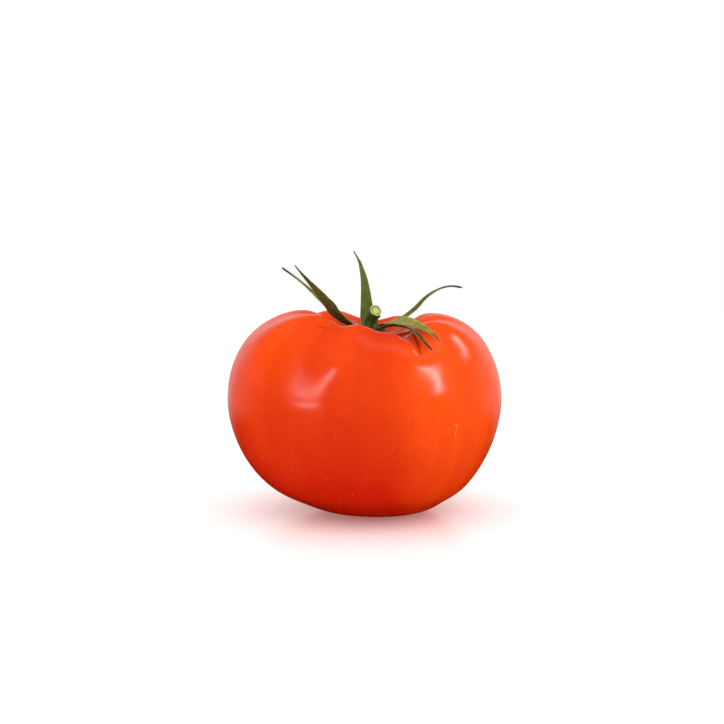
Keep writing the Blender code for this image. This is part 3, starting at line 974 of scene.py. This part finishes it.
def with_marks(tree, place, part, base):
    """The healed marks, wavering a little, on the front alone."""
    elevation = math.radians(CAMERA_ELEVATION)
    up = (0.0, math.sin(elevation), math.cos(elevation))
    rise = vector_calc(tree, "DOT_PRODUCT", place, up).outputs["Value"]
    front = vector(tree, part["X"], rise, 0.0)
    waver = noise(tree, place, WAVER_SIZE, 2.0, 0.5).outputs["Color"]
    waver = vector_calc(tree, "SUBTRACT", waver, (0.5, 0.5, 0.5))
    waver = vector_calc(tree, "MULTIPLY", waver, (WAVER_REACH * MM, WAVER_REACH * MM, 0.0))
    front = vector_calc(tree, "ADD", front, waver)
    facing = calc(tree, "LESS_THAN", part["Y"], 0.0)
    for mark in MARKS:
        cover = product(tree, mark_cover(tree, front, mark), facing)
        base = blend(tree, cover, base, mark.tint)
    return base


def waxy_tomato_skin():
    """Ripe tomato skin, grown smooth under a thin wax: orange red, faintly mottled, with a soft gloss."""
    made, tree = new_material("ripe_tomato_skin_waxy")
    place = add(tree, "ShaderNodeTexCoord").outputs["Object"]
    part = parts(tree, place)
    station = attribute(tree, "station")
    spoke = attribute(tree, "spoke", "Vector")
    base = ripe_colour_and_painted_light(tree, place, part)
    base = with_blotches(tree, place, base)
    base = with_streaks(tree, station, spoke, base)
    base = with_painted_crease_shade(tree, station, spoke, base)
    base = with_ends(tree, station, base)
    base = with_speckles(tree, place, part, base)
    base = with_marks(tree, place, part, base)
    finish_material(tree, {
        "Base Color": base,
        "Roughness": ramp(tree, noise(tree, place, GLOSS_SIZE, 4.0, 0.6), *GLOSS_ROUGHNESS),
        "Normal": relief(tree, noise(tree, place, 0.9, 2.0, 0.5), 0.10, 0.06),
        "IOR": 1.45,
        "Specular IOR Level": 0.20,
        "Subsurface Weight": 0.12,
        "Subsurface Radius": (1.0, 0.25, 0.1),
        "Subsurface Scale": 3.0 * MM,
    })
    return made


# The leaf's ramps: from its outer face to its inner one, the outer face's painted shade fading along it,
# its mottle, veins and margin. Its dry tip begins at a share of its length that falls as its dryness and
# painted shade grow.
FACE_TURN = (-0.3, 0.3, 0.0, 1.0)
OUTER_SHADE_FADE = (0.25, 0.55, 0.0, 1.0)
LEAF_MOTTLE_SIZE, LEAF_MOTTLE_COVER = 2.4, (0.35, 0.7, 0.0, 0.65)
VEIN_COVER = (0.6, 1.0, 0.0, 0.20)
MARGIN_COVER = (0.90, 0.985, 0.0, 0.75)
DRY_TIP_BEGIN = (0.0, 1.0, 0.86, 0.30)
DRY_TIP_WHOLE, DRY_TIP_COVER = 0.97, 0.9


def leaf_faces(tree, share):
    """The outer face, painted dark as shade, dark brown at its root and olive beyond, and the inner one,
    green or yellowed.
    """
    # The outer face's painted shade, darkest at the root.
    outer = blend(tree, ramp(tree, share, *OUTER_SHADE_FADE), "#2A2407", "#5C5A16")
    inner = blend(tree, attribute(tree, "yellowing"), "#5A6C1C", "#A79A4A")
    return blend(tree, ramp(tree, attribute(tree, "face"), *FACE_TURN), outer, inner)


def downy_leaf():
    """A sepal's leaf tissue, grown green and drying from its tip: dull, veined, pale along its margin."""
    made, tree = new_material("sepal_leaf_downy")
    place = add(tree, "ShaderNodeTexCoord").outputs["Object"]
    share, column, dryness = (attribute(tree, name) for name in ("share", "column", "dryness"))
    mottle = ramp(tree, noise(tree, place, LEAF_MOTTLE_SIZE, 4.0, 0.65), *LEAF_MOTTLE_COVER)
    green = blend(tree, mottle, leaf_faces(tree, share), "#33400C")
    # Darker brown by the sepal's dryness and shade: partly drying, partly painted shade.
    green = blend(tree, dryness, green, "#352B0C")
    veins = calc(tree, "COSINE", product(tree, column, VEINS_ACROSS * math.pi))
    green = blend(tree, ramp(tree, veins, *VEIN_COVER), green, "#7E8A3C")
    margin = ramp(tree, calc(tree, "ABSOLUTE", column), *MARGIN_COVER)
    green = blend(tree, margin, green, "#A9A862")
    dry_from = ramp(tree, dryness, *DRY_TIP_BEGIN)
    green = blend(tree, ramp(tree, share, dry_from, DRY_TIP_WHOLE, 0.0, DRY_TIP_COVER), green, "#3B2C14")
    finish_material(tree, {
        "Base Color": green,
        "Roughness": 0.62,
        "Normal": relief(tree, noise(tree, place, 0.5, 3.0, 0.6), 0.5, 0.1),
        "Specular IOR Level": 0.15,
        "Sheen Weight": 0.05,
        "Sheen Roughness": 0.5,
    })
    return made


# The stalk's mottle, and its dark ring's outer and inner edge by the mesh's value, cut. The ring is fainter
# on the lower side of the slanting cut.
STALK_MOTTLE_SIZE, STALK_MOTTLE_COVER = 1.2, (0.35, 0.65, 0.0, 1.0)
CUT_BEGINS = 0.9
RING_OUTER, RING_INNER = (1.20, 1.26, 0.0, 1.0), (1.36, 1.42, 1.0, 0.0)
RING_BY_HEIGHT = (0.0662, 0.0676, 0.25, 1.0)
WOOD_SIZE = 0.35


def cut_stalk():
    """Green stalk, ribbed and dull, with a knife-cut end: pale rim, dark vascular ring and pale pith."""
    made, tree = new_material("green_stalk_knife_cut")
    place = add(tree, "ShaderNodeTexCoord").outputs["Object"]
    cut = attribute(tree, "cut")
    mottle = ramp(tree, noise(tree, place, STALK_MOTTLE_SIZE, 4.0, 0.6), *STALK_MOTTLE_COVER)
    green = blend(tree, mottle, "#262F08", "#4F6219")
    wood = blend(tree, noise(tree, place, WOOD_SIZE, 3.0, 0.6), "#A9B058", "#CFCF86")
    ring = product(tree, ramp(tree, cut, *RING_OUTER), ramp(tree, cut, *RING_INNER))
    height = parts(tree, place)["Z"]
    ring = product(tree, ring, ramp(tree, height, *RING_BY_HEIGHT))
    wood = blend(tree, ring, wood, "#4A4D14")
    finish_material(tree, {
        "Base Color": blend(tree, calc(tree, "GREATER_THAN", cut, CUT_BEGINS), green, wood),
        "Roughness": 0.6,
        "Specular IOR Level": 0.2,
        "Normal": relief(tree, noise(tree, place, 0.4, 3.0, 0.6), 0.6, 0.12),
    })
    return made


def plant_hair():
    """Fine plant hairs, grown on leaf and stalk: pale and dull."""
    made, tree = new_material("plant_hair_pale")
    finish_material(tree, {"Base Color": colour("#A9B26C"), "Roughness": 0.5})
    return made


def white_table_with_painted_glow():
    """Milk-white acrylic, polished, with a warm painted glow that lightens its shadow and tints it red like
    bounce light.
    """
    made, tree = new_material("milk_white_acrylic_polished")
    finish_material(tree, {
        "Base Color": colour("#F3F3F3"),
        "Roughness": 0.2,
        # A painted pink glow: it lifts the contact shadow and reddens it, standing in for light bounced off
        # the fruit.
        "Emission Color": colour("#FFC6BE"),
        "Emission Strength": 0.21,
    })
    return made


# Studio

# Lengths here are in metres, but for the camera's lens, which is in millimetres.
CAMERA_TARGET = Vector((-0.79, 0.0, 49.43)) * MM
CAMERA_DISTANCE = 0.66
CAMERA_LENS = 100.0
FLOOR_RADIUS = 0.60
FLOOR_SIDES = 96


def make_floor():
    bm = bmesh.new()
    bmesh.ops.create_circle(bm, cap_ends=True, segments=FLOOR_SIDES, radius=FLOOR_RADIUS)
    mesh = bpy.data.meshes.new("floor")
    bm.to_mesh(mesh)
    bm.free()
    mesh.materials.append(white_table_with_painted_glow())
    floor = new_object("floor", mesh)
    floor.visible_glossy = False


def make_camera():
    elevation = math.radians(CAMERA_ELEVATION)
    camera = new_object("camera", bpy.data.cameras.new("camera"))
    camera.data.lens = CAMERA_LENS
    camera.data.clip_start = 0.01
    back = Vector((0, -math.cos(elevation), math.sin(elevation)))
    camera.location = CAMERA_TARGET + back * CAMERA_DISTANCE
    camera.rotation_euler = (math.pi / 2 - elevation, 0, 0)
    bpy.context.scene.camera = camera


# The boxes that are mirrored in the skin don't light it, and the wide one above lights it and isn't mirrored.
# Azimuth is from the camera's side towards +X, and roll turns a box about the line to the fruit, in degrees.
Softbox = namedtuple("Softbox", "name azimuth elevation roll distance width height power mirrored")
SOFTBOXES = [
    Softbox("left_softbox", -45.5, 28.0, -10.0, 0.9, 0.10, 0.56, 2.5, True),
    Softbox("left_strip", -47.0, 5.0, 0.0, 0.9, 0.09, 0.05, 0.45, True),
    Softbox("right_softbox", 64.0, 32.0, -12.0, 0.9, 0.05, 0.62, 5.2, True),
    Softbox("shoulder_strip", 124.0, 38.0, 32.0, 0.9, 0.46, 0.09, 1.6, True),
    Softbox("overhead_glow", 130.0, 68.0, 0.0, 0.9, 0.40, 0.30, 0.30, True),
    Softbox("top_softbox", 0.0, 90.0, 0.0, 1.0, 1.40, 1.40, 2.8, False),
]


def make_softboxes():
    """Rectangular lights round the fruit, each facing its middle."""
    middle = Vector((0.0, 0.0, SHOULDER_HEIGHT / 2)) * MM
    for box in SOFTBOXES:
        azimuth, elevation = math.radians(box.azimuth), math.radians(box.elevation)
        level = math.cos(elevation)
        toward = Vector((math.sin(azimuth) * level, -math.cos(azimuth) * level, math.sin(elevation)))
        light = new_object(box.name, bpy.data.lights.new(box.name, "AREA"))
        light.data.shape = "RECTANGLE"
        light.data.size = box.width
        light.data.size_y = box.height
        light.data.energy = box.power
        light.location = middle + toward * box.distance
        roll = Quaternion((0.0, 0.0, 1.0), math.radians(box.roll))
        light.rotation_euler = (toward.to_track_quat("Z", "Y") @ roll).to_euler()
        light.visible_camera = False
        light.visible_glossy = box.mirrored
        light.visible_diffuse = not box.mirrored


# The world's strength as light, and in the gloss: more towards +Y, none from well below, little from high up.
WORLD_LIGHT = 1.40
MIRRORED_BEHIND = (-0.3, 0.5, 0.02, 0.60)
MIRRORED_FROM_BELOW = (-0.30, -0.14, 0.0, 1.0)
MIRRORED_FROM_ABOVE = (0.22, 0.45, 1.0, 0.08)


def make_world():
    """White to look at, and even white light. Gloss mirrors it bright low behind the fruit, else dim."""
    world = bpy.data.worlds.new("white_studio")
    world.use_nodes = True
    tree = world.node_tree
    tree.nodes.clear()
    direction = add(tree, "ShaderNodeTexCoord").outputs["Generated"]
    part = parts(tree, direction)
    mirrored = smooth_ramp(tree, part["Y"], *MIRRORED_BEHIND)
    mirrored = product(tree, mirrored, ramp(tree, part["Z"], *MIRRORED_FROM_BELOW))
    mirrored = product(tree, mirrored, ramp(tree, part["Z"], *MIRRORED_FROM_ABOVE))
    ray = add(tree, "ShaderNodeLightPath").outputs
    strength = add(tree, "ShaderNodeMix", ray["Is Glossy Ray"], WORLD_LIGHT, mirrored, data_type="FLOAT")
    lit = add(tree, "ShaderNodeBackground", colour("#FFFFFF"), strength)
    seen = add(tree, "ShaderNodeBackground", colour("#FFFFFF"), 1.0)
    mixed = add(tree, "ShaderNodeMixShader", ray["Is Camera Ray"], lit, seen)
    add(tree, "ShaderNodeOutputWorld", mixed)
    bpy.context.scene.world = world


def place_piece(piece, slot, *nodes):
    """A finished piece moves with the body and may stand for the solids; its slot is not used."""
    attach(piece, "root")
    if nodes:
        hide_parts(*nodes)


def make_tomato():
    leaf, stalk, hair = downy_leaf(), cut_stalk(), plant_hair()
    place_piece(make_fruit(waxy_tomato_skin()), "fruit", "fruit")
    disc = make_disc(leaf)
    sepals = make_sepals(leaf)
    stem = make_stem(stalk)
    hairs = hair_tree()
    for sepal, given in zip(sepals, SEPAL_HAIRS):
        name = sepal.name.replace("sepal", "hairs")
        place_piece(make_hairs(name, sepal, hairs, given, hair), "calyx")
    place_piece(make_hairs("hairs_disc", disc, hairs, DISC_HAIRS, hair), "calyx")
    place_piece(make_hairs("hairs_stem", stem, hairs, STEM_HAIRS, hair), "stem")
    for piece in (disc, *sepals):
        place_piece(piece, "calyx", "calyx")
    place_piece(stem, "stem", "stem")


make_tomato()
make_floor()
make_camera()
make_softboxes()
make_world()
bpy.context.scene.view_settings.view_transform = "Standard"
